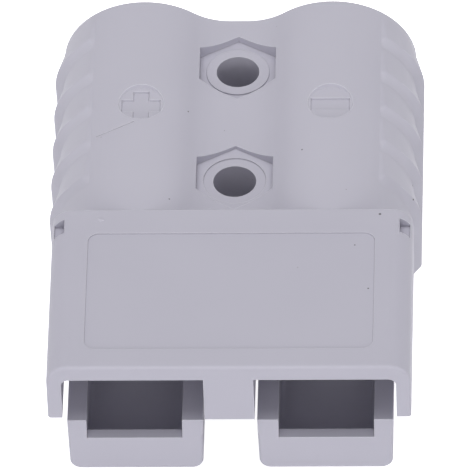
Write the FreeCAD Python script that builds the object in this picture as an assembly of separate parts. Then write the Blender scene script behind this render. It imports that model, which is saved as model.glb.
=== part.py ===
"""Genderless two-pole power connector housing, with its two leaf springs.

The housing is one moulding of light grey polycarbonate. Two cable barrels lie side by
side behind a thin hood. Two open troughs reach forward under the hood, one in front of
each barrel. A second housing, turned over, slides its own troughs under this hood.
Millimetres. X runs across the two poles, -Y is the mating front, +Y the cable end and
+Z up. The origin is under the middle of the housing, on the surface that it lies on.
"""
import FreeCAD
import Part
import math
import os

V = FreeCAD.Vector

# Whole housing
LENGTH = 79.4            # mating front of the hood to the cable end
BARREL_D = 26.0          # outside of a cable barrel, which is the thickness too
BARREL_PITCH = 29.5      # one cable barrel to the other

# Hood over the mating space
HOOD_LENGTH = 33.7       # front of the hood back to the step where the barrels start
HOOD_WIDTH = 55.8
HOOD_CORNER_R = 3.3      # long top corners
PLATE_T = 2.75           # top plate
SKIRT_T = 2.25           # side skirts
SKIRT_END = 2.0          # skirts stop this far above the mid-plane
PILLAR_W = 7.7           # wall between the two mating spaces
PILLAR_END = 1.5         # it stops this far above the mid-plane
BACK_WALL_T = 1.4        # closes the mating spaces at the step
HOOD_INNER_R = 1.2       # inside corners between the plate and the skirts
HOOD_EDGE_R = 0.5        # rounding of the front edges

# Troughs that carry the contacts
TROUGH_SETBACK = 0.6     # trough front behind the hood front
PLATE_FIT = 0.15         # a mating trough clears the plate by this
SKIRT_FIT = 0.6          # and the skirts by this
PILLAR_FIT = 0.3         # and the pillar by this
TROUGH_FLOOR_T = 3.0
TROUGH_DRAFT = 0.2       # a side wall leans in by this towards the bottom
TROUGH_CORNER_R = 1.75   # outside bottom corners
LIP_T = 1.8              # front wall
LIP_DROP = 3.2           # its top lies this far under the mid-plane
WALL_LEAN = 0.7          # the side walls lean back by this above the lip

# Chambers inside
CHAMBER_W = 14.7
CHAMBER_TOP = 5.5        # roof above the mid-plane
CHAMBER_END = 16.0       # the square chamber reaches this far behind the step
CHAMBER_R = 0.8          # its inside corners
BORE_D = 19.0            # round cable entry
BORE_LEAD = 1.2          # chamfer at its mouth

# Web between the barrels, with two mounting holes
WEB_T = 17.4
WEB_FILLET_R = 9.8       # hollow between web and barrel
FILLET_SHARE = 0.9       # it takes at most this share of the room between the barrels
HOLE_D = 6.7
HOLE_SPACING = 24.0
HOLE_FROM_STEP = 11.2
HEX_FLATS = 11.9         # recess for a nut or bolt head
RING_D = 9.8             # seat round the hole
RING_DEPTH = 0.95        # seat face under the web
FRONT_HEX_DEPTH = 0.7    # floor of the front recess under the web
REAR_HEX_DEPTH = 1.2     # floor of the rear recess under the web

# Grip fins on the flanks
FIN_COUNT = 5
FIN_FROM_STEP = 7.8      # the row of fins starts here
FIN_REAR_GAP = 0.4       # and ends this far before the cable end
FIN_HEIGHT = 1.3         # a crest stands this proud of the barrel
FIN_DROP = 2.0           # length of the steep slope in front of a crest
FIN_ARC_OUT = 2.9        # the fins' arc is centred this far outside the barrel axis
FIN_SINK = 0.12          # the valleys lie inside the barrel by this
FIN_FOOT = 11.1          # foot of the fins under the mid-plane
FIN_FOOT_R = 1.7         # rounding of the foot
FIN_LEAN = 0.3           # the upright walls lean in by this down to the foot

# Label field on the hood
LABEL_W = 44.3
LABEL_L = 24.6
LABEL_R = 1.7
LABEL_DEPTH = 0.2
LABEL_FROM_STEP = 5.0

# Round pads for the polarity signs
PAD_D = 6.9
PAD_DEPTH = 0.6          # flat floor under the crest of the barrel
PAD_FROM_STEP = 23.5

# Slots in the rear corners of the hood
SLOT_L = 2.95
SLOT_W = 1.6
SLOT_FROM_STEP = 1.7
SLOT_DEPTH = 2.2
SLOT_WALL = 0.4          # skin left outside a slot

# Cable end
REAR_EDGE = 0.15         # chamfer round the rim

# Leaf springs
SPRING_W = 12.6
SPRING_T = 0.8
SPRING_BOW = 1.8         # rise of the middle above the ends
SPRING_PAD = 3.0         # flat length at each end
SPRING_FRONT_GAP = 14.6  # front end behind the lip, out of sight under the hood
SPRING_REACH = 8.0       # rear end behind the step

# Planes worked out from the sizes above
MID = BARREL_D / 2
TOP = BARREL_D
FRONT = -LENGTH / 2
REAR = LENGTH / 2
STEP = FRONT + HOOD_LENGTH
AXIS = BARREL_PITCH / 2
RADIUS = BARREL_D / 2
PLATE_UNDER = TOP - PLATE_T
SKIRT_IN = HOOD_WIDTH / 2 - SKIRT_T
TROUGH_OUT = SKIRT_IN - SKIRT_FIT
TROUGH_IN = PILLAR_W / 2 + PILLAR_FIT
TROUGH_FRONT = FRONT + TROUGH_SETBACK
TROUGH_BOTTOM = BARREL_D - PLATE_UNDER + PLATE_FIT
FLOOR = TROUGH_BOTTOM + TROUGH_FLOOR_T
LIP_TOP = MID - LIP_DROP
WEB_TOP = MID + WEB_T / 2
WEB_BOTTOM = MID - WEB_T / 2
HOLES_Y = [STEP + HOLE_FROM_STEP, STEP + HOLE_FROM_STEP + HOLE_SPACING]
FIN_PITCH = (REAR - FIN_REAR_GAP - STEP - FIN_FROM_STEP) / FIN_COUNT
BEYOND = 5.0             # cutters run past what they cut by this
NEAR = 1e-3              # an edge closer to a plane than this lies in it
ALONG_X = V(1, 0, 0)
ALONG_Y = V(0, 1, 0)
ALONG_Z = V(0, 0, 1)
QUARTER_TURN = 90        # degrees


def line(a, b):
    return Part.LineSegment(a, b).toShape()


def arc(a, b, c):
    return Part.Arc(a, b, c).toShape()


def polygon(points):
    return Part.Face(Part.makePolygon(points + [points[0]]))


def box(x0, x1, y0, y1, z0, z1):
    return Part.makeBox(x1 - x0, y1 - y0, z1 - z0, V(x0, y0, z0))


def edges_along(solid, axis):
    """Straight edges that run along one axis."""
    return [e for e in solid.Edges if abs(e.tangentAt(e.FirstParameter).dot(axis)) > 1 - NEAR
            and abs(e.tangentAt(e.LastParameter).dot(axis)) > 1 - NEAR]


def rounded_box(x0, x1, y0, y1, z0, z1, radius, axis):
    """A box whose four edges along one axis are rounded."""
    solid = box(x0, x1, y0, y1, z0, z1)
    return solid.makeFillet(radius, edges_along(solid, axis))


def edges_in_plane_y(solid, y):
    """Edges that lie wholly in one plane across Y."""
    found = []
    for edge in solid.Edges:
        bounds = edge.BoundBox
        if abs(bounds.YMin - y) < NEAR and abs(bounds.YMax - y) < NEAR:
            found.append(edge)
    return found


def mirrored(solid):
    """The same solid for the other pole."""
    return solid.mirror(V(0, 0, 0), ALONG_X)


def web_fillet():
    """Radius of the hollow fillets, limited so that a flat is left on the web."""
    half = WEB_T / 2
    room = (AXIS ** 2 - RADIUS ** 2 + half ** 2) / (2 * (RADIUS - half))
    return min(WEB_FILLET_R, FILLET_SHARE * room)


def body_outline():
    """Section of the rear body: two circles with a web, joined by hollow fillets."""
    fillet = web_fillet()
    reach = RADIUS + fillet
    fillet_z = WEB_TOP + fillet - MID
    web_half = AXIS - math.sqrt(reach ** 2 - fillet_z ** 2)
    lean = math.atan2(AXIS - web_half, fillet_z)
    meet = V(AXIS - RADIUS * math.sin(lean), STEP, MID + RADIUS * math.cos(lean))
    flat = V(web_half, STEP, WEB_TOP)
    half = lean / 2
    middle = V(web_half + fillet * math.sin(half), STEP, WEB_TOP + fillet * (1 - math.cos(half)))

    def put(point, side, up):
        return V(point.x * side, point.y, MID + (point.z - MID) * up)

    edges = []
    for side in (1, -1):
        outer = V(side * (AXIS + RADIUS), STEP, MID)
        edges.append(arc(put(meet, side, 1), outer, put(meet, side, -1)))
        for up in (1, -1):
            edges.append(arc(put(flat, side, up), put(middle, side, up), put(meet, side, up)))
    for up in (1, -1):
        edges.append(line(put(flat, -1, up), put(flat, 1, up)))
    return Part.Wire(Part.__sortEdges__(edges))


def rear_body():
    solid = Part.Face(body_outline()).extrude(V(0, REAR - STEP, 0))
    return solid.makeChamfer(REAR_EDGE, edges_in_plane_y(solid, REAR))


def fin_row():
    """Sawtooth fins of the right flank: arched above the mid-plane, upright below it."""
    inner = AXIS + FIN_ARC_OUT
    valley = AXIS + RADIUS - FIN_SINK
    crest = AXIS + RADIUS + FIN_HEIGHT
    y = STEP + FIN_FROM_STEP
    points = [V(inner, y, MID), V(valley, y, MID)]
    for _ in range(FIN_COUNT):
        points += [V(crest, y + FIN_DROP, MID), V(valley, y + FIN_PITCH, MID)]
        y += FIN_PITCH
    points.append(V(inner, y, MID))
    plan = polygon(points)
    arched = plan.revolve(V(inner, 0, MID), ALONG_Y, -QUARTER_TURN)
    upright = plan.extrude(V(-FIN_LEAN, 0, -FIN_FOOT))
    foot = [e for e in upright.Edges
            if e.BoundBox.ZMax < MID - FIN_FOOT + NEAR and e.BoundBox.XMin > valley - FIN_LEAN - NEAR]
    return arched.fuse(upright.makeFillet(FIN_FOOT_R, foot))


def hood():
    """Plate, skirts, pillar and back wall round the two mating spaces."""
    half = HOOD_WIDTH / 2
    block = box(-half, half, FRONT, STEP, MID + PILLAR_END, TOP)
    corners = [e for e in edges_along(block, ALONG_Y) if e.BoundBox.ZMin > TOP - NEAR]
    block = block.makeFillet(HOOD_CORNER_R, corners)
    front = [e for e in edges_in_plane_y(block, FRONT) if e.BoundBox.ZMax > MID + PILLAR_END + NEAR]
    block = block.makeFillet(HOOD_EDGE_R, front)
    for side in (-1, 1):
        x0, x1 = sorted((side * PILLAR_W / 2, side * SKIRT_IN))
        space = box(x0, x1, FRONT - BEYOND, STEP - BACK_WALL_T, MID - BEYOND, PLATE_UNDER)
        corner = [e for e in space.Edges
                  if e.BoundBox.ZMin > PLATE_UNDER - NEAR and abs(e.BoundBox.Center.x) > SKIRT_IN - NEAR]
        space = space.makeFillet(HOOD_INNER_R, corner)
        x0, x1 = sorted((side * PILLAR_W / 2, side * (half + BEYOND)))
        under = box(x0, x1, FRONT - BEYOND, STEP + BEYOND, MID - BEYOND, MID + SKIRT_END)
        block = block.cut(space).cut(under)
    return block


def trough():
    """Right trough: a U section with a low front lip and side walls that lean back."""
    x0, x1 = TROUGH_IN, TROUGH_OUT
    section = polygon([V(x0, 0, MID), V(x0 + TROUGH_DRAFT, 0, TROUGH_BOTTOM),
                       V(x1 - TROUGH_DRAFT, 0, TROUGH_BOTTOM), V(x1, 0, MID)])
    section.translate(V(0, TROUGH_FRONT, 0))
    solid = section.extrude(V(0, STEP - TROUGH_FRONT, 0))
    bottom = [e for e in edges_along(solid, ALONG_Y) if e.BoundBox.ZMax < TROUGH_BOTTOM + NEAR]
    solid = solid.makeFillet(TROUGH_CORNER_R, bottom)
    front = [e for e in edges_in_plane_y(solid, TROUGH_FRONT) if e.BoundBox.ZMax < MID - NEAR]
    solid = solid.makeFillet(HOOD_EDGE_R, front)
    notch = polygon([V(0, TROUGH_FRONT - BEYOND, LIP_TOP), V(0, TROUGH_FRONT, LIP_TOP),
                     V(0, TROUGH_FRONT + WALL_LEAN, MID), V(0, TROUGH_FRONT + WALL_LEAN, TOP),
                     V(0, TROUGH_FRONT - BEYOND, TOP)])
    solid = solid.cut(notch.extrude(V(x1 + BEYOND, 0, 0)))
    lip = box(AXIS - CHAMBER_W / 2, AXIS + CHAMBER_W / 2, TROUGH_FRONT - BEYOND,
              TROUGH_FRONT + LIP_T, LIP_TOP, MID + BEYOND)
    return solid.cut(lip)


def chamber():
    """Hollow of the right pole: square in front, round where the cable enters."""
    square = rounded_box(AXIS - CHAMBER_W / 2, AXIS + CHAMBER_W / 2, TROUGH_FRONT + LIP_T,
                         STEP + CHAMBER_END, FLOOR, MID + CHAMBER_TOP, CHAMBER_R, ALONG_Y)
    bore = Part.makeCylinder(BORE_D / 2, REAR - STEP - CHAMBER_END + BEYOND,
                             V(AXIS, STEP + CHAMBER_END, MID), ALONG_Y)
    lead = Part.makeCone(BORE_D / 2, BORE_D / 2 + BORE_LEAD + BEYOND, BORE_LEAD + BEYOND,
                         V(AXIS, REAR - BORE_LEAD, MID), ALONG_Y)
    return square.fuse(bore).fuse(lead)


def mounting_hole(y, hex_depth):
    """Hole through the web, with the hexagon recess and the seat round the hole."""
    points = []
    for i in range(6):
        turn = math.radians(90 + 60 * i)
        corner = HEX_FLATS / math.sqrt(3)
        points.append(V(corner * math.cos(turn), y + corner * math.sin(turn), WEB_TOP - hex_depth))
    recess = polygon(points).extrude(V(0, 0, MID))
    seat_z = WEB_TOP - RING_DEPTH
    if hex_depth > RING_DEPTH:
        boss = Part.makeCylinder(RING_D / 2, seat_z - recess.BoundBox.ZMin, V(0, y, recess.BoundBox.ZMin))
        recess = recess.cut(boss)
    else:
        recess = recess.fuse(Part.makeCylinder(RING_D / 2, MID, V(0, y, seat_z)))
    return recess.fuse(Part.makeCylinder(HOLE_D / 2, TOP + 2 * BEYOND, V(0, y, -BEYOND)))


def label_field():
    y1 = STEP - LABEL_FROM_STEP
    return rounded_box(-LABEL_W / 2, LABEL_W / 2, y1 - LABEL_L, y1, TOP - LABEL_DEPTH,
                       TOP + BEYOND, LABEL_R, ALONG_Z)


def sign_pad():
    """Round pad sunk into the crest of the right barrel, with a flat floor."""
    return Part.makeCylinder(PAD_D / 2, PAD_DEPTH + BEYOND,
                             V(AXIS, STEP + PAD_FROM_STEP, TOP - PAD_DEPTH))


def corner_slot():
    """Core slot in the right rear corner of the hood, open upwards."""
    x1 = HOOD_WIDTH / 2 - SLOT_WALL
    y1 = STEP - SLOT_FROM_STEP
    return box(x1 - SLOT_W, x1, y1 - SLOT_L, y1, TOP - SLOT_DEPTH, TOP + BEYOND)


def housing():
    solid = rear_body().fuse(hood())
    for right_side in (trough(), fin_row()):
        solid = solid.fuse(right_side).fuse(mirrored(right_side))
    cutters = [label_field(), mounting_hole(HOLES_Y[0], FRONT_HEX_DEPTH),
               mounting_hole(HOLES_Y[1], REAR_HEX_DEPTH)]
    for make in (chamber, sign_pad, corner_slot):
        cutters += [make(), mirrored(make())]
    for cutter in cutters:
        solid = solid.cut(cutter)
    return solid.removeSplitter()


def spring():
    """Right leaf spring: a bowed steel strip that lies on the trough floor."""
    y0 = TROUGH_FRONT + LIP_T + SPRING_FRONT_GAP
    y3 = STEP + SPRING_REACH
    y1, y2 = y0 + SPRING_PAD, y3 - SPRING_PAD
    middle = (y1 + y2) / 2
    x = AXIS - SPRING_W / 2

    def edge_run(lift):
        z = FLOOR + lift
        return [line(V(x, y0, z), V(x, y1, z)),
                arc(V(x, y1, z), V(x, middle, z + SPRING_BOW), V(x, y2, z)),
                line(V(x, y2, z), V(x, y3, z))]

    ends = [line(V(x, y, FLOOR), V(x, y, FLOOR + SPRING_T)) for y in (y0, y3)]
    outline = Part.Wire(Part.__sortEdges__(edge_run(0) + edge_run(SPRING_T) + ends))
    return Part.Face(outline).extrude(V(SPRING_W, 0, 0))


def main():
    os.makedirs("parts", exist_ok=True)
    nodes = {"housing": housing(), "right_spring": spring(), "left_spring": mirrored(spring())}
    for name, shape in nodes.items():
        shape.exportStep("parts/" + name + ".step")
        print(name, "valid" if shape.isValid() else "not valid", len(shape.Solids), "solid",
              round(shape.Volume, 1), "cubic mm")


main()
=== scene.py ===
# %% [markdown]
# # A genderless power connector housing
#
# The object is one moulding of light grey polycarbonate that holds two steel leaf springs. The
# solids come from the CAD model, which is the fixed frame here: none of its parts is moved. This
# lesson dresses that frame in steps. It sets the camera and the light, makes the finish of the
# plastic and of the steel, and adds the fine forms that the solids leave out: the two pole signs,
# the slope of their pads' rims, the fuller shape of the fins, the gate mark and the flow line.

# %% Load the frame
import math

import bmesh
import bpy
from mathutils import Matrix, Vector


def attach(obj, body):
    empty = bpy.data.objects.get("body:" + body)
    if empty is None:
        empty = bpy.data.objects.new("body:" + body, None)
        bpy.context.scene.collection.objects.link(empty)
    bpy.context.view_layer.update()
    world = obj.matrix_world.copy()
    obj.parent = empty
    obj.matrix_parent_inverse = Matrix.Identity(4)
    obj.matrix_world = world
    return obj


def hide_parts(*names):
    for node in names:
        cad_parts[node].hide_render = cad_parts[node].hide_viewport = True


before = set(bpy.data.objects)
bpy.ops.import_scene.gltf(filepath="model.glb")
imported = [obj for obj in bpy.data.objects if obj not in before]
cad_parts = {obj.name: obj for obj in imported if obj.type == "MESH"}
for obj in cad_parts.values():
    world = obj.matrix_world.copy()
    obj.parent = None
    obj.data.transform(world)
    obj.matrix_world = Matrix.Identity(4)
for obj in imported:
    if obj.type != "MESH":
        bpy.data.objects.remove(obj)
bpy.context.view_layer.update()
MM = 0.001
print("nodes:", sorted(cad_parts))

# %% [markdown]
# ## Small helpers
#
# A colour is written as a screen colour, as a paint chart gives it. The shaders work with linear
# light, so one function turns the screen value into the linear one. Another function adds a node:
# its settings are the node's own properties, and its inputs are plain values or other sockets.


# %% Helpers
def linear(screen_hex):
    """Linear RGBA of a screen colour such as "#B8B7C1"."""
    channels = [int(screen_hex[i:i + 2], 16) / 255 for i in (1, 3, 5)]
    light = [c / 12.92 if c <= 0.04045 else ((c + 0.055) / 1.055) ** 2.4 for c in channels]
    return (*light, 1.0)


def add(tree, kind, inputs=None, **settings):
    """Add one node to a tree, set its properties and fill or link its inputs."""
    node = tree.nodes.new(kind)
    for name, value in settings.items():
        setattr(node, name, value)
    for name, value in (inputs or {}).items():
        if isinstance(value, bpy.types.NodeSocket):
            tree.links.new(value, node.inputs[name])
        else:
            node.inputs[name].default_value = value
    return node


def new_material(name):
    """An empty node material and its tree."""
    material = bpy.data.materials.new(name)
    material.use_nodes = True
    material.node_tree.nodes.clear()
    return material, material.node_tree


print("white is", linear("#FFFFFF"))

# %% [markdown]
# ## The camera
#
# The photograph was taken from in front and above with a long lens. The tilt comes from the
# ellipses of the bolt holes and the pads. The direction, the slight roll and the distance of
# about two metres are those that suit the points measured in it best. With a lens this long, a
# small error in the distance hardly shows, and the tilt matters most. The camera's matrix is
# built from its own three directions, because that takes the roll in one go.

# %% Camera
AZIMUTH = math.radians(2.864)
ELEVATION = math.radians(45.857)
ROLL = math.radians(-2.288)
DISTANCE = 2049.5 * MM
AIM = Vector((-0.09, 1.13, 13.0)) * MM
SENSOR_WIDTH = 36.0         # mm
LENS = 1008.6               # mm
VIEW_END = 10.0             # m

back = Vector((math.sin(AZIMUTH) * math.cos(ELEVATION),
               -math.cos(AZIMUTH) * math.cos(ELEVATION),
               math.sin(ELEVATION)))
level = Vector((math.cos(AZIMUTH), math.sin(AZIMUTH), 0.0))
upright = back.cross(level)
right = level * math.cos(ROLL) + upright * math.sin(ROLL)
up = upright * math.cos(ROLL) - level * math.sin(ROLL)

camera_data = bpy.data.cameras.new("camera")
camera_data.lens = LENS
camera_data.sensor_width = SENSOR_WIDTH
camera_data.clip_end = VIEW_END
camera = bpy.data.objects.new("camera", camera_data)
camera.matrix_world = Matrix((
    (right.x, up.x, back.x, 0.0),
    (right.y, up.y, back.y, 0.0),
    (right.z, up.z, back.z, 0.0),
    (0.0, 0.0, 0.0, 1.0),
))
camera.location = AIM + back * DISTANCE
bpy.context.scene.collection.objects.link(camera)
bpy.context.scene.camera = camera
print("camera stands at", [round(value, 3) for value in camera.location])

# %% [markdown]
# ## Light
#
# The photograph has the even light of a packshot table. A softbox hangs over the table: it makes
# the tops light and lets the slopes of the barrels fall off a little. A second one stands in
# front, low enough to light the upright faces without reaching into the hollows, and a weak one
# over it softens the change from top to front. Two weak ones stand low on the left and the right
# and lift the flanks. The pale room fills in the rest. It is white to the camera and in
# reflections, and gives less light than that.

# %% Light
WORLD_LIGHT = 0.30
LAMPS = {
    # name: (place in metres, width and height in metres, power in watts)
    "overhead_softbox": ((0.0, 0.0, 1.5), (1.2, 1.2), 13.4),
    "front_softbox": ((0.0, -1.5, 0.32), (1.2, 0.6), 7.1),
    "front_high_softbox": ((0.0, -1.3, 0.75), (1.2, 0.5), 1.7),
    "left_softbox": ((-1.4, -0.1, 0.16), (1.2, 0.3), 2.0),
    "right_softbox": ((1.4, -0.1, 0.16), (1.2, 0.3), 1.5),
}


def background_seen(tree, *rays):
    """1 for the rays that see the plain white background, 0 for those that carry light."""
    path = add(tree, "ShaderNodeLightPath").outputs
    seen = path[rays[0]]
    for ray in rays[1:]:
        seen = add(tree, "ShaderNodeMath", {0: seen, 1: path[ray]}, operation="MAXIMUM").outputs[0]
    return seen


def make_world():
    world = bpy.data.worlds.new("white_room")
    world.use_nodes = True
    tree = world.node_tree
    tree.nodes.clear()
    seen = background_seen(tree, "Is Camera Ray", "Is Transmission Ray", "Is Glossy Ray")
    strength = add(tree, "ShaderNodeMapRange",
                   {"Value": seen, "To Min": WORLD_LIGHT, "To Max": 1.0}).outputs[0]
    room = add(tree, "ShaderNodeBackground", {"Color": linear("#FFFFFF"), "Strength": strength})
    add(tree, "ShaderNodeOutputWorld", {"Surface": room.outputs[0]})
    bpy.context.scene.world = world


def make_lamps():
    for name, (place, (width, height), power) in LAMPS.items():
        data = bpy.data.lights.new(name, "AREA")
        data.shape = "RECTANGLE"
        data.size = width
        data.size_y = height
        data.energy = power
        lamp = bpy.data.objects.new(name, data)
        lamp.location = place
        lamp.rotation_euler = (Vector(place) - AIM).to_track_quat("Z", "Y").to_euler()
        bpy.context.scene.collection.objects.link(lamp)


make_world()
make_lamps()
bpy.context.scene.view_settings.view_transform = "Standard"
print("lamps:", sorted(LAMPS))

# %% [markdown]
# ## Floor
#
# The table is plain white paint. More lamp light would make it white too, but it would wash out
# the object. So the camera sees the paint lifted a little towards white, as on a packshot, and
# only the soft shadow round the part's foot is left of it.

# %% Floor
FLOOR_RADIUS = 6.0          # m
FLOOR_CORNERS = 64
FLOOR_COLOUR = "#F4F4F6"
FLOOR_LIFT = 0.85           # what the camera sees of the floor before any light falls on it


def make_floor():
    mesh = bpy.data.meshes.new("floor")
    bm = bmesh.new()
    bmesh.ops.create_circle(bm, cap_ends=True, segments=FLOOR_CORNERS, radius=FLOOR_RADIUS)
    bm.to_mesh(mesh)
    bm.free()
    floor = bpy.data.objects.new("floor", mesh)
    bpy.context.scene.collection.objects.link(floor)

    material, tree = new_material("white_table")
    seen = background_seen(tree, "Is Camera Ray", "Is Glossy Ray")
    lift = add(tree, "ShaderNodeMath", {0: seen, 1: FLOOR_LIFT}, operation="MULTIPLY").outputs[0]
    paint = add(tree, "ShaderNodeBsdfDiffuse", {"Color": linear(FLOOR_COLOUR)})
    glow = add(tree, "ShaderNodeEmission", {"Color": linear("#FFFFFF"), "Strength": lift})
    both = add(tree, "ShaderNodeAddShader", {0: paint.outputs[0], 1: glow.outputs[0]})
    add(tree, "ShaderNodeOutputMaterial", {"Surface": both.outputs[0]})
    mesh.materials.append(material)
    return floor


floor = make_floor()
print("floor:", FLOOR_COLOUR, "and", floor.name, "is", 2 * FLOOR_RADIUS, "m across")

# %% [markdown]
# ## The moulded polycarbonate
#
# Polycarbonate with a light grey masterbatch is opaque and satin. The mould's spark-eroded steel
# leaves a very fine grain. The melt leaves wide soft clouds in the tone. The thick barrels are
# painted a slightly lighter tone than the thin hood: painted light that stands in for the stronger
# light on the barrels. A few dark specks of burnt pellet lie in the surface.
#
# A painted picture could hold all this, but it would have to be wrapped round the part and would
# blur from close by. Nodes that work in millimetres need no wrapping. The larger specks have a
# place each, and tiny ones come from a cell pattern.

# %% Tone of the plastic
GREY = ("#B6B4C1", "#BFBDC9")  # dark clouds and the hood, light clouds and the barrels, which get painted light
BURNT = "#2E2B28"
CLOUD = 14.0                # mm
PAINTED_LIGHT_SPAN = (-12.0, 2.0)        # mm, painted light: the tone turns a little lighter along Y between these places, towards the barrels
PAINTED_LIGHT_SHARE = 0.5           # share of the painted light in the tone, against the clouds
BURNT_SPECKS = {
    # place in mm: radius in mm
    (22.85, -7.08, 26.0): 0.2,
    (-7.43, 17.58, 23.74): 0.13,
    (-9.85, -2.72, 25.04): 0.12,
    (10.52, 7.63, 25.29): 0.13,
    (27.52, 9.33, 15.44): 0.16,
    (27.74, 3.69, 18.12): 0.15,
    (19.05, -13.52, 25.8): 0.12,
    (21.25, -22.81, 25.8): 0.13,
}
SPECK_DARK = 0.85           # share of the burnt tone in a speck
SPECK_FADE = (0.6, 1.3)     # shares of its radius between which it fades out
TINY_SPECK = 5.5            # mm from one tiny speck to the next
TINY_SIZE = (0.0108, 0.018)  # shares of that distance between which it fades out
TINY_DARK = 0.55


def speckled_grey(tree, place):
    """The tone of clean plastic: clouds, painted light towards the barrels, and specks."""
    cloud = add(tree, "ShaderNodeTexNoise",
                {"Vector": place, "Scale": 1 / (CLOUD * MM), "Detail": 3.0, "Roughness": 0.55})
    apart = add(tree, "ShaderNodeSeparateXYZ", {0: place})
    # painted light: the tone is made lighter towards the barrels, for the stronger light on them
    painted_light = add(tree, "ShaderNodeMapRange",
                {"Value": apart.outputs["Y"], "From Min": PAINTED_LIGHT_SPAN[0] * MM, "From Max": PAINTED_LIGHT_SPAN[1] * MM},
                interpolation_type="SMOOTHSTEP")
    clouds_and_painted_light = add(tree, "ShaderNodeMix",
                {"Factor": PAINTED_LIGHT_SHARE, "A": cloud.outputs["Fac"], "B": painted_light.outputs[0]},
                data_type="FLOAT")
    tone = add(tree, "ShaderNodeMix",
               {"Factor": clouds_and_painted_light.outputs["Result"], "A": linear(GREY[0]), "B": linear(GREY[1])},
               data_type="RGBA")

    tiny = add(tree, "ShaderNodeTexVoronoi", {"Vector": place, "Scale": 1 / (TINY_SPECK * MM)})
    dark = add(tree, "ShaderNodeMapRange",
               {"Value": tiny.outputs["Distance"], "From Min": TINY_SIZE[0],
                "From Max": TINY_SIZE[1], "To Min": TINY_DARK, "To Max": 0.0}).outputs[0]
    for spot, radius in BURNT_SPECKS.items():
        away = add(tree, "ShaderNodeVectorMath", {0: place, 1: Vector(spot) * MM},
                   operation="DISTANCE")
        here = add(tree, "ShaderNodeMapRange",
                   {"Value": away.outputs["Value"], "From Min": radius * SPECK_FADE[0] * MM,
                    "From Max": radius * SPECK_FADE[1] * MM, "To Min": SPECK_DARK, "To Max": 0.0})
        dark = add(tree, "ShaderNodeMath", {0: dark, 1: here.outputs[0]},
                   operation="MAXIMUM").outputs[0]
    return add(tree, "ShaderNodeMix",
               {"Factor": dark, "A": tone.outputs["Result"], "B": linear(BURNT)},
               data_type="RGBA").outputs["Result"]


print("the plastic's tone has", len(BURNT_SPECKS), "placed specks")

# %% [markdown]
# ## Its corners and edges
#
# Fine inner corners get painted shade, a thin dark line as if drawn with a pencil: the Ambient
# Occlusion node finds them. A moulding has no truly sharp edge: the Bevel node bends the light
# round each edge over a fifth of a millimetre, which is too small to be worth real faces. Where its
# normal leaves the surface's own, there is an edge, and outer edges get a painted highlight.

# %% Corners and edges
# painted shade for the inner corners and a painted highlight for the outer edges
PAINTED_CORNER_SHADE, PAINTED_EDGE_HIGHLIGHT = "#77747C", "#DCDBE4"
CORNER_REACH = 0.35         # mm, the painted shade reaches this far out of an inner corner
CORNER_SHADE_SHARE = 0.26          # share of the painted shade in the tone of the sharpest corners
CORNER_OPEN = (0.45, 0.85)  # open air in the sharpest corner, and where the painted shade ends
EDGE_ROUNDING = 0.2         # mm
EDGE_HIGHLIGHT_SHARE = 0.75             # share of the painted highlight's tone on the sharpest outer edges
EDGE_TURN = (0.99, 0.92)    # likeness of the two normals where the painted highlight begins and is full
EDGE_OPEN = (0.78, 0.92)    # open air round an edge that gets the painted highlight, from none to all of it
NODE_RAYS = 8               # rays that the Bevel and Ambient Occlusion nodes send out


def painted_shade_and_highlight(tree, clean, rounded):
    """The clean tone with painted shade in its inner corners and a painted highlight on its outer
    edges.
    """
    # painted shade: corners with little open air are darkened towards a grey
    open_air = add(tree, "ShaderNodeAmbientOcclusion", {"Distance": CORNER_REACH * MM},
                   samples=NODE_RAYS, only_local=True)
    painted_shade = add(tree, "ShaderNodeMapRange",
               {"Value": open_air.outputs["AO"], "From Min": CORNER_OPEN[0],
                "From Max": CORNER_OPEN[1], "To Min": CORNER_SHADE_SHARE, "To Max": 0.0})
    shaded_corners = add(tree, "ShaderNodeMix",
                {"Factor": painted_shade.outputs[0], "A": clean, "B": linear(PAINTED_CORNER_SHADE)}, data_type="RGBA")

    # painted highlight: outer edges are lightened where the rounded normal turns from the surface's
    # own
    own_normal = add(tree, "ShaderNodeNewGeometry").outputs["Normal"]
    alike = add(tree, "ShaderNodeVectorMath", {0: rounded, 1: own_normal}, operation="DOT_PRODUCT")
    at_edge = add(tree, "ShaderNodeMapRange",
                  {"Value": alike.outputs["Value"], "From Min": EDGE_TURN[0],
                   "From Max": EDGE_TURN[1], "To Min": 0.0, "To Max": EDGE_HIGHLIGHT_SHARE})
    outer = add(tree, "ShaderNodeMapRange",
                {"Value": open_air.outputs["AO"], "From Min": EDGE_OPEN[0],
                 "From Max": EDGE_OPEN[1]})
    painted_highlight = add(tree, "ShaderNodeMath", {0: at_edge.outputs[0], 1: outer.outputs[0]},
              operation="MULTIPLY")
    return add(tree, "ShaderNodeMix",
               {"Factor": painted_highlight.outputs[0], "A": shaded_corners.outputs["Result"], "B": linear(PAINTED_EDGE_HIGHLIGHT)},
               data_type="RGBA").outputs["Result"]


# the reach printed here is that of the painted shade in the corners
print("edges are rounded over", EDGE_ROUNDING, "mm, dust reaches", CORNER_REACH, "mm")

# %% [markdown]
# ## Its surface
#
# Under the fine grain lie long low waves where the wall shrank as it cooled. They bend the wide
# reflections a little and take the roughness with them, which tells the eye that the part was
# moulded and not machined. Both are far too shallow to be worth real faces, so two Bump nodes in
# a row draw them over the rounded edges.

# %% Polycarbonate
POLYCARBONATE_IOR = 1.585
SATIN = (0.50, 0.62)        # roughness, which drifts with the waves in the wall
GLOSS_LEVEL = 0.3           # the eroded grain scatters part of the gloss
SINK = 7.0                  # mm from one wave to the next
SINK_DEPTH = 0.02           # mm
GRAIN = 0.45                # mm, coarser than the real grain so that it shows
GRAIN_DEPTH = 0.004         # mm


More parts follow.
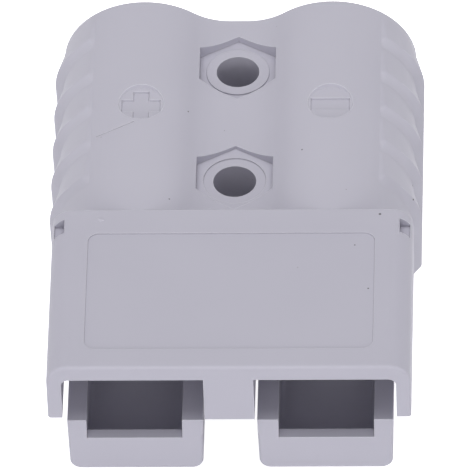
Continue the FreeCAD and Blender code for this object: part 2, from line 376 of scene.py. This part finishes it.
def moulded_polycarbonate():
    material, tree = new_material("moulded_grey_polycarbonate")
    place = add(tree, "ShaderNodeTexCoord").outputs["Object"]
    rounded = add(tree, "ShaderNodeBevel", {"Radius": EDGE_ROUNDING * MM},
                  samples=NODE_RAYS).outputs[0]
    colour = painted_shade_and_highlight(tree, speckled_grey(tree, place), rounded)

    waves = add(tree, "ShaderNodeTexNoise",
                {"Vector": place, "Scale": 1 / (SINK * MM), "Detail": 2.0}).outputs["Fac"]
    roughness = add(tree, "ShaderNodeMapRange",
                    {"Value": waves, "To Min": SATIN[0], "To Max": SATIN[1]})
    sink = add(tree, "ShaderNodeBump",
               {"Height": waves, "Distance": SINK_DEPTH * MM, "Strength": 1.0, "Normal": rounded})
    grain = add(tree, "ShaderNodeTexNoise",
                {"Vector": place, "Scale": 1 / (GRAIN * MM), "Detail": 4.0, "Roughness": 0.6})
    surface = add(tree, "ShaderNodeBump",
                  {"Height": grain.outputs["Fac"], "Distance": GRAIN_DEPTH * MM, "Strength": 1.0,
                   "Normal": sink.outputs[0]})

    plastic = add(tree, "ShaderNodeBsdfPrincipled",
                  {"Base Color": colour, "Roughness": roughness.outputs[0],
                   "IOR": POLYCARBONATE_IOR, "Specular IOR Level": GLOSS_LEVEL,
                   "Normal": surface.outputs[0]})
    add(tree, "ShaderNodeOutputMaterial", {"Surface": plastic.outputs[0]})
    return material


polycarbonate = moulded_polycarbonate()
print("made", polycarbonate.name, "with", len(polycarbonate.node_tree.nodes), "nodes")

# %% [markdown]
# ## The spring steel
#
# The leaf springs are slit from rolled stainless strip. Their CAD nodes have the right shape, so
# they stay and only get a finish. Rolling leaves fine lines along the strip, so the noise is
# stretched along Y, and light smears across the lines. The shader's own anisotropy could smear
# it too, but it would leave out the lines, which show from close by.

# %% Spring steel
STEEL = ("#8F8E8C", "#B4B3B0")
STEEL_ROUGHNESS = (0.28, 0.45)
ROLLING_LINE = 0.12         # mm across a line
ROLLING_LENGTH = 9.0        # mm along it
ROLLING_DEPTH = 0.003       # mm


def rolled_stainless():
    material, tree = new_material("rolled_stainless_strip")
    place = add(tree, "ShaderNodeTexCoord").outputs["Object"]
    across, along = 1 / (ROLLING_LINE * MM), 1 / (ROLLING_LENGTH * MM)
    stretched = add(tree, "ShaderNodeMapping", {"Vector": place, "Scale": (across, along, across)})
    lines = add(tree, "ShaderNodeTexNoise",
                {"Vector": stretched.outputs[0], "Scale": 1.0, "Detail": 3.0}).outputs["Fac"]
    colour = add(tree, "ShaderNodeMix",
                 {"Factor": lines, "A": linear(STEEL[0]), "B": linear(STEEL[1])}, data_type="RGBA")
    roughness = add(tree, "ShaderNodeMapRange",
                    {"Value": lines, "To Min": STEEL_ROUGHNESS[0], "To Max": STEEL_ROUGHNESS[1]})
    relief = add(tree, "ShaderNodeBump",
                 {"Height": lines, "Distance": ROLLING_DEPTH * MM, "Strength": 1.0})
    steel = add(tree, "ShaderNodeBsdfPrincipled",
                {"Base Color": colour.outputs["Result"], "Metallic": 1.0,
                 "Roughness": roughness.outputs[0], "Normal": relief.outputs[0]})
    add(tree, "ShaderNodeOutputMaterial", {"Surface": steel.outputs[0]})
    return material


stainless = rolled_stainless()
for name in ("left_spring", "right_spring"):
    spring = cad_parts[name]
    spring.data.materials.clear()
    spring.data.materials.append(stainless)
print("made", stainless.name)

# %% [markdown]
# ## Geometry trees
#
# Three forms follow a rule: the bars of the signs, the fins and the flow line. Geometry Nodes make
# them. Each tree has its sizes as named inputs in a group of its own. A calculation in a tree
# takes one Math node for each sum, so it is written as a list of steps: the name of the result,
# the operation, and what goes in, by name or as a number. The result of a tree is kept as a plain
# mesh.


# %% Helpers for geometry trees
def new_size_tree(name, sizes):
    """A geometry tree with named inputs for its sizes in mm, and those inputs by name."""
    tree = bpy.data.node_groups.new(name, "GeometryNodeTree")
    tree.interface.new_socket("Geometry", in_out="OUTPUT", socket_type="NodeSocketGeometry")
    for label, size in sizes.items():
        socket = tree.interface.new_socket(label, in_out="INPUT", socket_type="NodeSocketFloat")
        socket.default_value = size * MM
    tree.interface.new_socket("Material", in_out="INPUT", socket_type="NodeSocketMaterial")
    given = add(tree, "NodeGroupInput").outputs
    return tree, {label: given[label] for label in (*sizes, "Material")}


def work_out(tree, values, steps):
    """Work through the steps of a calculation and keep each result by its name."""
    for result, operation, *terms in steps:
        sockets = {index: values.get(term, term) for index, term in enumerate(terms)}
        values[result] = add(tree, "ShaderNodeMath", sockets, operation=operation).outputs[0]


def end_tree(tree, geometry, material):
    """Make instances real, give the material and hand the geometry over."""
    real = add(tree, "GeometryNodeRealizeInstances", {"Geometry": geometry})
    painted = add(tree, "GeometryNodeSetMaterial",
                  {"Geometry": real.outputs[0], "Material": material})
    add(tree, "NodeGroupOutput", {"Geometry": painted.outputs[0]})


def mesh_from_tree(tree, name):
    """Run a geometry tree on an empty mesh and keep the result as a plain mesh."""
    carrier = bpy.data.objects.new(name, bpy.data.meshes.new(name + "_empty"))
    bpy.context.scene.collection.objects.link(carrier)
    modifier = carrier.modifiers.new(name, "NODES")
    modifier.node_group = tree
    for item in tree.interface.items_tree:
        if item.name == "Material":
            modifier[item.identifier] = polycarbonate
    graph = bpy.context.evaluated_depsgraph_get()
    mesh = bpy.data.meshes.new_from_object(carrier.evaluated_get(graph))
    bpy.data.objects.remove(carrier)
    return mesh


print("geometry trees get their sizes in metres, so 1 mm is", MM)

# %% [markdown]
# ## The pole signs
#
# A plus and a minus are sunk into the floors of the two round pads, so that cables are not
# swapped. Each is made of straight bars whose walls lean outwards, so that the part leaves its
# mould. A bump in the material could draw them, but cut shapes catch the light from any side. So
# the tree makes cutters: a box for each bar, drawn in at its foot and set out on the pads, with
# the two bars of the plus joined first so that the cutter has no inner walls.

# %% Cutters for the signs
PAD_FLOOR = 25.4            # mm above the table
PAD_CENTRE = (14.75, 17.5)  # mm, the right pad; the left one is its mirror image
BAR_LENGTH = 6.3            # mm
BAR_WIDTH = 2.7             # mm
BAR_DEPTH = 0.35            # mm under the pad's floor
BAR_TALL = 0.2              # mm, the cutters reach this far over the pad's floor
BAR_LEAN = 0.2              # mm, a bar's foot is drawn in by this much all round
PLUS_SHIFT = -0.2           # mm, the plus lies a little towards the hood
SIGN_STEPS = (
    ("half height", "MULTIPLY", "Height", 0.5),
    ("middle z", "ADD", "Bottom", "half height"),
    ("plus y", "ADD", "Pad Y", "Plus shift"),
    ("plus x", "MULTIPLY", "Pole X", -1.0),
    ("at foot", "LESS_THAN", "corner z", 0.0),
    ("inwards", "MULTIPLY", "Lean", -1.0),
    ("drawn in", "MULTIPLY", "at foot", "inwards"),
)


def sign_cutter_tree():
    tree, values = new_size_tree("sign_cutters", {
        "Length": BAR_LENGTH, "Width": BAR_WIDTH, "Height": BAR_DEPTH + BAR_TALL,
        "Pole X": PAD_CENTRE[0], "Pad Y": PAD_CENTRE[1], "Plus shift": PLUS_SHIFT,
        "Bottom": PAD_FLOOR - BAR_DEPTH, "Lean": BAR_LEAN})
    corner = add(tree, "GeometryNodeInputPosition").outputs[0]
    values["corner z"] = add(tree, "ShaderNodeSeparateXYZ", {0: corner}).outputs["Z"]
    work_out(tree, values, SIGN_STEPS)
    side = add(tree, "ShaderNodeVectorMath", {0: corner}, operation="SIGN").outputs[0]
    lean = add(tree, "ShaderNodeCombineXYZ", {"X": values["drawn in"], "Y": values["drawn in"]})
    shift = add(tree, "ShaderNodeVectorMath", {0: side, 1: lean.outputs[0]}, operation="MULTIPLY")

    def bar(length, width, x, y):
        size = add(tree, "ShaderNodeCombineXYZ",
                   {"X": values[length], "Y": values[width], "Z": values["Height"]})
        box = add(tree, "GeometryNodeMeshCube", {"Size": size.outputs[0]})
        leaning = add(tree, "GeometryNodeSetPosition",
                      {"Geometry": box.outputs["Mesh"], "Offset": shift.outputs[0]})
        spot = add(tree, "ShaderNodeCombineXYZ",
                   {"X": values[x], "Y": values[y], "Z": values["middle z"]})
        return add(tree, "GeometryNodeTransform",
                   {"Geometry": leaning.outputs[0], "Translation": spot.outputs[0]}).outputs[0]

    plus_bars = [bar("Length", "Width", "plus x", "plus y"),
                 bar("Width", "Length", "plus x", "plus y")]
    minus_bar = bar("Length", "Width", "Pole X", "Pad Y")
    plus = add(tree, "GeometryNodeMeshBoolean", {"Mesh 2": plus_bars[0]},
               operation="UNION", solver="EXACT")
    tree.links.new(plus_bars[1], plus.inputs["Mesh 2"])
    both = add(tree, "GeometryNodeJoinGeometry", {"Geometry": plus.outputs["Mesh"]})
    tree.links.new(minus_bar, both.inputs["Geometry"])
    end_tree(tree, both.outputs[0], values["Material"])
    return tree


sign_cutters = mesh_from_tree(sign_cutter_tree(), "sign_cutters")
print("sign cutters:", len(sign_cutters.polygons), "faces")

# %% [markdown]
# ## The pads' rims
#
# The wall of each pad leans outwards on the side away from the hood and catches the light there.
# Its corners could be moved by hand, but a cut keeps the rim a clean curve. A wide cone whose axis
# lies a little further back than the pad's cuts that slope and leaves the other side of the wall
# nearly as it is.

# %% Cones for the rims
RIM_BEHIND = 0.15           # mm, the cones' axes lie this far behind the pads'
RIM_FOOT = (25.42, 3.5)     # mm, height and radius at the foot of the slope
RIM_TOP = (26.5, 3.97)      # mm, and over the barrel
CONE_CORNERS = 96


def make_rim_cones():
    mesh = bpy.data.meshes.new("rim_cones")
    bm = bmesh.new()
    middle = (RIM_FOOT[0] + RIM_TOP[0]) / 2
    for side in (-1, 1):
        place = Vector((side * PAD_CENTRE[0], PAD_CENTRE[1] + RIM_BEHIND, middle)) * MM
        bmesh.ops.create_cone(bm, cap_ends=True, segments=CONE_CORNERS, radius1=RIM_FOOT[1] * MM,
                              radius2=RIM_TOP[1] * MM, depth=(RIM_TOP[0] - RIM_FOOT[0]) * MM,
                              matrix=Matrix.Translation(place))
    bm.to_mesh(mesh)
    bm.free()
    return mesh


rim_cones = make_rim_cones()
print("rim cones:", len(rim_cones.polygons), "faces")

# %% [markdown]
# ## The grip fins
#
# Five sawtooth fins run round the outer flank of each barrel. The CAD node has them as plain
# arcs. The moulding's fins are fuller than that near their blunt upper ends, and each one drops a
# little at its tail, which draws a fine dark line under the next. They could be sculpted one by
# one, but all five follow one rule in the angle round the barrel and the place along it. So a
# finely divided block is bent by that rule. It lies on the CAD fins like a thin coat and is later
# made one with them.

# %% Sizes of the fins
BARREL_AXIS = (14.75, 13.0)  # mm, across and up
BARREL_R = 13.0              # mm
FIN_COUNT = 5
FIN_PITCH = 7.5              # mm
FIN_START = 1.8              # mm, the foot of the first fin along the barrel
FIN_STEEP = 2.0              # mm, from a foot back to its crest
FIN_HOLLOW = 1.7             # power of the hollow curve from a foot up to its crest
FIN_TIP = (35.0, 39.5)       # degrees from the top: the fins' ends, and where they are full
CREST_LOW = 0.62             # mm, height of a crest near the blunt end
CREST_ARC = (2.9, 11.4)      # mm, centre of the outer crest arc beyond the axis, and its radius
CREST_BLEND = 0.1            # mm, over which the low crest passes into the arc
CREST_ROUND = 0.12           # mm, rounding of the crest
TAIL_LENGTH = 0.6            # mm, the drop before the next foot
TAIL_HEIGHT = 0.11           # mm
APRON_LENGTH = 7.95          # mm, from the first foot to just inside the hood
APRON_HEIGHT = 0.24          # mm, at the hood
COAT_OVER = 0.015            # mm, the coat lies this far over the barrel
COAT_UNDER = 0.12            # mm, and this far under it at the flank, where the CAD valleys are
COAT_INSIDE = 12.3           # mm, radius of the coat's hidden inner side
COAT_EDGE = (34.0, 40.5)     # degrees from the top: the coat's edge, and where it is full
EDGE_SINK = 0.03             # mm, the coat's edge lies this far lower
UNDER_FROM = 60.0            # degrees from the top, where the coat starts to go under
FLANK = 90.0                 # degrees from the top
STEPS_ROUND = 44
STEPS_PER_FIN = 30
HAIR = 1e-5                  # of a fin, keeps a foot from falling on the wrong side of its line
print(FIN_COUNT, "fins reach to y =", FIN_START + FIN_COUNT * FIN_PITCH, "mm")

# %% [markdown]
# The rule comes in four parts. The valley is the coat's lowest level. The crest has a set height
# near its blunt end and follows the arc of the CAD fins further round. The sawtooth has a steep
# hollow front, a long back and a short drop, and in front of the first fin an apron rises gently
# to the hood. The last part turns the angle, the place along the barrel and the height into a
# point.

# %% The rule of the fins
VALLEY_STEPS = (
    ("flank drop", "ADD", "Coat over", "Coat under"),
    ("sunk", "MULTIPLY", "under share", "flank drop"),
    ("edge drop", "MULTIPLY", "edge share", "Edge sink"),
    ("over flank", "SUBTRACT", "Coat over", "sunk"),
    ("over all", "SUBTRACT", "over flank", "edge drop"),
    ("valley", "ADD", "over all", "Barrel radius"),
)
CREST_STEPS = (
    ("sine", "SINE", "turn"),
    ("cosine", "COSINE", "turn"),
    ("arc sine", "MULTIPLY", "Arc out", "sine"),
    ("arc cosine", "MULTIPLY", "Arc out", "cosine"),
    ("radius square", "POWER", "Arc radius", 2.0),
    ("cosine square", "POWER", "arc cosine", 2.0),
    ("arc square", "SUBTRACT", "radius square", "cosine square"),
    ("arc root", "SQRT", "arc square"),
    ("arc crest", "ADD", "arc sine", "arc root"),
    ("blunt crest", "ADD", "Barrel radius", "Low crest"),
    ("crest", "SMOOTH_MAX", "arc crest", "blunt crest", "Crest blend"),
    ("over valley", "SUBTRACT", "crest", "valley"),
    ("crest height", "MULTIPLY", "over valley", "tip share"),
    ("tail start", "MULTIPLY", "Tail height", "tip share"),
)
SAWTOOTH_STEPS = (
    ("from foot", "ADD", "along", HAIR),
    ("fin share", "FLOORED_MODULO", "from foot", 1.0),
    ("in fin", "MULTIPLY", "fin share", "Pitch"),
    ("up front", "DIVIDE", "in fin", "Steep"),
    ("hollow", "POWER", "up front", FIN_HOLLOW),
    ("front", "MULTIPLY", "hollow", "crest height"),
    ("after front", "SUBTRACT", "Pitch", "Steep"),
    ("back length", "SUBTRACT", "after front", "Tail length"),
    ("past crest", "SUBTRACT", "in fin", "Steep"),
    ("back share", "DIVIDE", "past crest", "back length"),
    ("whole fall", "SUBTRACT", "crest height", "tail start"),
    ("back fall", "MULTIPLY", "back share", "whole fall"),
    ("back", "SUBTRACT", "crest height", "back fall"),
    ("to next foot", "SUBTRACT", "Pitch", "in fin"),
    ("tail share", "DIVIDE", "to next foot", "Tail length"),
    ("tail", "MULTIPLY", "tail share", "tail start"),
    ("front and back", "SMOOTH_MIN", "front", "back", "Crest round"),
    ("sawtooth", "MINIMUM", "front and back", "tail"),
    ("before", "MINIMUM", "along", 0.0),
    ("apron share", "MULTIPLY", "before", -1.0),
    ("apron top", "MULTIPLY", "Apron height", "tip share"),
    ("apron", "MULTIPLY", "apron share", "apron top"),
    ("in front", "LESS_THAN", "along", -HAIR),
    ("on fins", "SUBTRACT", 1.0, "in front"),
    ("fins", "MULTIPLY", "sawtooth", "on fins"),
    ("fins and apron", "ADD", "fins", "apron"),
    ("outer", "ADD", "valley", "fins and apron"),
)
PLACE_STEPS = (
    ("thickness", "SUBTRACT", "outer", "Coat inside"),
    ("from inside", "MULTIPLY", "outside", "thickness"),
    ("reach", "ADD", "from inside", "Coat inside"),
    ("outwards", "MULTIPLY", "reach", "sine"),
    ("x", "ADD", "Axis X", "outwards"),
    ("past start", "MAXIMUM", "along", 0.0),
    ("past start y", "MULTIPLY", "past start", "Pitch"),
    ("fins y", "ADD", "Start", "past start y"),
    ("apron y", "MULTIPLY", "before", "Apron length"),
    ("y", "ADD", "fins y", "apron y"),
    ("upwards", "MULTIPLY", "reach", "cosine"),
    ("z", "ADD", "Axis Z", "upwards"),
)
FIN_STEPS = VALLEY_STEPS + CREST_STEPS + SAWTOOTH_STEPS + PLACE_STEPS
print("the rule of the fins has", len(FIN_STEPS), "steps")

# %% [markdown]
# The block is one metre on each side and its three directions stand for the angle, the place
# along the barrel and the depth. Map Range nodes stretch them to real spans. The left side is the
# mirror image, and its faces are flipped back so that they point outwards again.


# %% Fins
def fin_coat_tree():
    tree, values = new_size_tree("fin_coat", {
        "Axis X": BARREL_AXIS[0], "Axis Z": BARREL_AXIS[1], "Barrel radius": BARREL_R,
        "Start": FIN_START, "Pitch": FIN_PITCH, "Steep": FIN_STEEP, "Tail length": TAIL_LENGTH,
        "Tail height": TAIL_HEIGHT, "Low crest": CREST_LOW, "Arc out": CREST_ARC[0],
        "Arc radius": CREST_ARC[1], "Coat over": COAT_OVER, "Coat under": COAT_UNDER,
        "Coat inside": COAT_INSIDE, "Apron length": APRON_LENGTH, "Apron height": APRON_HEIGHT,
        "Edge sink": EDGE_SINK, "Crest blend": CREST_BLEND, "Crest round": CREST_ROUND})
    block = add(tree, "GeometryNodeMeshCube",
                {"Size": (1.0, 1.0, 1.0), "Vertices X": STEPS_ROUND + 1,
                 "Vertices Y": (FIN_COUNT + 1) * STEPS_PER_FIN + 1, "Vertices Z": 2})
    corner = add(tree, "GeometryNodeInputPosition").outputs[0]
    apart = add(tree, "ShaderNodeSeparateXYZ", {0: corner}).outputs
    values.update({"block x": apart["X"], "block y": apart["Y"], "block z": apart["Z"]})

    edge, full, tip, tip_full, under, flank = (
        math.radians(angle) for angle in (*COAT_EDGE, *FIN_TIP, UNDER_FROM, FLANK))
    spans = (
        # result, what it follows from where to where, its value at both ends, and the curve
        ("turn", "block x", -0.5, 0.5, edge, flank, "LINEAR"),
        ("along", "block y", -0.5, 0.5, -1.0, float(FIN_COUNT), "LINEAR"),
        ("outside", "block z", -0.5, 0.5, 0.0, 1.0, "LINEAR"),
        ("under share", "turn", under, flank, 0.0, 1.0, "SMOOTHSTEP"),
        ("edge share", "turn", edge, full, 1.0, 0.0, "SMOOTHSTEP"),
        ("tip share", "turn", tip, tip_full, 0.0, 1.0, "SMOOTHSTEP"),
    )
    for result, follows, low, high, start, end, curve in spans:
        values[result] = add(tree, "ShaderNodeMapRange",
                             {"Value": values[follows], "From Min": low, "From Max": high,
                              "To Min": start, "To Max": end},
                             interpolation_type=curve).outputs[0]
    work_out(tree, values, FIN_STEPS)

    point = add(tree, "ShaderNodeCombineXYZ",
                {"X": values["x"], "Y": values["y"], "Z": values["z"]})
    bent = add(tree, "GeometryNodeSetPosition",
               {"Geometry": block.outputs["Mesh"], "Position": point.outputs[0]})
    mirrored = add(tree, "GeometryNodeTransform",
                   {"Geometry": bent.outputs[0], "Scale": (-1.0, 1.0, 1.0)})
    turned = add(tree, "GeometryNodeFlipFaces", {"Mesh": mirrored.outputs[0]})
    both = add(tree, "GeometryNodeJoinGeometry", {"Geometry": bent.outputs[0]})
    tree.links.new(turned.outputs[0], both.inputs["Geometry"])
    end_tree(tree, both.outputs[0], values["Material"])
    return tree


fin_coat = mesh_from_tree(fin_coat_tree(), "fin_coat")
bm = bmesh.new()
bm.from_mesh(fin_coat)
volume = bm.calc_volume(signed=True) / MM ** 3
print("fin coat:", len(bm.faces), "faces,", round(volume, 1), "cubic mm")
bm.free()

# %% [markdown]
# ## The gate mark
#
# Melt enters the mould through a small gate, and where it is cut off a low bump is left on the
# hood, left of the label field. A bump in the material would do from above, but it would be flat
# when seen from the side. So it is a squashed sphere that is made one with the skin.

# %% Gate mark
GATE_PLACE = (-20.25, -8.02, 26.0)  # mm
GATE_SIZE = (0.5, 0.38, 0.13)       # mm, half lengths
GATE_DIVISIONS = 3


def make_gate_mark():
    mesh = bpy.data.meshes.new("gate_mark")
    bm = bmesh.new()
    bmesh.ops.create_icosphere(bm, subdivisions=GATE_DIVISIONS, radius=1.0)
    bmesh.ops.scale(bm, vec=Vector(GATE_SIZE) * MM, verts=bm.verts)
    bmesh.ops.translate(bm, vec=Vector(GATE_PLACE) * MM, verts=bm.verts)
    bm.to_mesh(mesh)
    bm.free()
    return mesh


gate_mark = make_gate_mark()
print("gate mark:", len(gate_mark.polygons), "faces")

# %% [markdown]
# ## The flow line
#
# Two fronts of melt met on the left barrel beside its sign and left a hair-thin curved seam. A
# dark line in the material would look painted, so a tube that follows the seam is cut from the
# skin. Its path climbs the barrel along a parabola in the plan view, and a circle is swept along
# it.

# %% Flow line
SEAM_X = (21.7, 15.7)        # mm from the middle plane, from its outer to its inner end
SEAM_Y = (11.8, -0.2, 1.7)   # mm, place along the barrel at the outer end, and its rise and bend
SEAM_WIDTH = 0.24            # mm
SEAM_POINTS = 28
RING_CORNERS = 10
SEAM_STEPS = (
    ("whole across", "SUBTRACT", "Inner X", "Outer X"),
    ("inwards", "MULTIPLY", "share", "whole across"),
    ("across", "ADD", "Outer X", "inwards"),
    ("from axis", "SUBTRACT", "across", "Axis X"),
    ("radius square", "POWER", "Path radius", 2.0),
    ("across square", "MULTIPLY", "from axis", "from axis"),
    ("up square", "SUBTRACT", "radius square", "across square"),
    ("upwards", "SQRT", "up square"),
    ("risen", "MULTIPLY", "share", "Rise"),
    ("straight y", "ADD", "Start Y", "risen"),
    ("share square", "POWER", "share", 2.0),
    ("bent", "MULTIPLY", "share square", "Bend"),
    ("x", "MULTIPLY", "across", -1.0),
    ("y", "ADD", "straight y", "bent"),
    ("z", "ADD", "Axis Z", "upwards"),
)


def flow_line_tree():
    tree, values = new_size_tree("flow_line", {
        "Outer X": SEAM_X[0], "Inner X": SEAM_X[1], "Start Y": SEAM_Y[0], "Rise": SEAM_Y[1],
        "Bend": SEAM_Y[2], "Axis X": BARREL_AXIS[0], "Axis Z": BARREL_AXIS[1],
        "Path radius": BARREL_R, "Tube radius": SEAM_WIDTH / 2})
    straight = add(tree, "GeometryNodeCurvePrimitiveLine", {"End": (1.0, 0.0, 0.0)})
    path = add(tree, "GeometryNodeResampleCurve",
               {"Curve": straight.outputs[0], "Count": SEAM_POINTS})
    values["share"] = add(tree, "GeometryNodeSplineParameter").outputs["Factor"]
    work_out(tree, values, SEAM_STEPS)
    point = add(tree, "ShaderNodeCombineXYZ",
                {"X": values["x"], "Y": values["y"], "Z": values["z"]})
    laid = add(tree, "GeometryNodeSetPosition",
               {"Geometry": path.outputs[0], "Position": point.outputs[0]})
    ring = add(tree, "GeometryNodeCurvePrimitiveCircle",
               {"Resolution": RING_CORNERS, "Radius": values["Tube radius"]})
    tube = add(tree, "GeometryNodeCurveToMesh",
               {"Curve": laid.outputs[0], "Profile Curve": ring.outputs["Curve"],
                "Fill Caps": True})
    end_tree(tree, tube.outputs[0], values["Material"])
    return tree


flow_line = mesh_from_tree(flow_line_tree(), "flow_line")
print("flow line:", len(flow_line.polygons), "faces")

# %% [markdown]
# ## The moulding's form
#
# The housing is one moulding, so the fine forms have to be one with it. Pieces that only lie on it
# would show a seam and leave inner walls in the mesh. The CAD node is loose triangles, so a copy
# is merged into one closed shell first. Exact Booleans then add the fin coat and the gate mark,
# and cut the rims, the signs and the flow line.

# %% Changes of the form
MERGE = 0.0005 * MM         # corners closer than this are one
CHANGES = (
    # name, the form that is added or cut, and how
    ("fins", fin_coat, "UNION"),
    ("gate", gate_mark, "UNION"),
    ("rims", rim_cones, "DIFFERENCE"),
    ("signs", sign_cutters, "DIFFERENCE"),
    ("seam", flow_line, "DIFFERENCE"),
)


def closed_copy(source, name):
    """A copy of a CAD mesh with its loose triangles merged, and without its custom normals."""
    mesh = bpy.data.meshes.new(name)
    bm = bmesh.new()
    bm.from_mesh(source)
    bmesh.ops.remove_doubles(bm, verts=bm.verts, dist=MERGE)
    bm.to_mesh(mesh)
    bm.free()
    if "custom_normal" in mesh.attributes:
        mesh.attributes.remove(mesh.attributes["custom_normal"])
    mesh.materials.clear()
    mesh.materials.append(polycarbonate)
    return mesh


def change_form(skin):
    """Run the Booleans one after another and keep the result as the skin's mesh."""
    tools = []
    for name, mesh, operation in CHANGES:
        tool = bpy.data.objects.new(name, mesh)
        bpy.context.scene.collection.objects.link(tool)
        change = skin.modifiers.new(name, "BOOLEAN")
        change.operation = operation
        change.solver = "EXACT"
        change.object = tool
        tools.append(tool)
    graph = bpy.context.evaluated_depsgraph_get()
    finished = bpy.data.meshes.new_from_object(skin.evaluated_get(graph))
    skin.modifiers.clear()
    skin.data = finished
    finished.name = "housing_skin"
    for tool in tools:
        bpy.data.objects.remove(tool)


print("changes of the form:", [name for name, mesh, operation in CHANGES])

# %% [markdown]
# ## The moulding's skin
#
# The finished shell takes the CAD node's place. Faces that meet at a slight angle are shaded as
# one smooth surface, and sharper edges stay crisp. Without more help the flat faces would be
# shaded as if they bent near their edges. A Weighted Normal modifier follows the largest faces
# instead, which keeps them flat.

# %% Housing skin
SMOOTH_BELOW = math.radians(32)


def housing_skin():
    mesh = closed_copy(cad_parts["housing"].data, "housing_skin")
    skin = bpy.data.objects.new("housing_skin", mesh)
    bpy.context.scene.collection.objects.link(skin)
    change_form(skin)
    skin.data.materials.clear()
    skin.data.materials.append(polycarbonate)
    for face in skin.data.polygons:
        face.material_index = 0
        face.use_smooth = True
    skin.data.set_sharp_from_angle(angle=SMOOTH_BELOW)
    weighted = skin.modifiers.new("flat_faces_stay_flat", "WEIGHTED_NORMAL")
    weighted.keep_sharp = True
    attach(skin, "root")
    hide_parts("housing")
    return skin


skin = housing_skin()
bm = bmesh.new()
bm.from_mesh(skin.data)
open_edges = sum(1 for edge in bm.edges if not edge.is_manifold)
bm.free()
print("skin:", len(skin.data.polygons), "faces,", open_edges, "open edges")
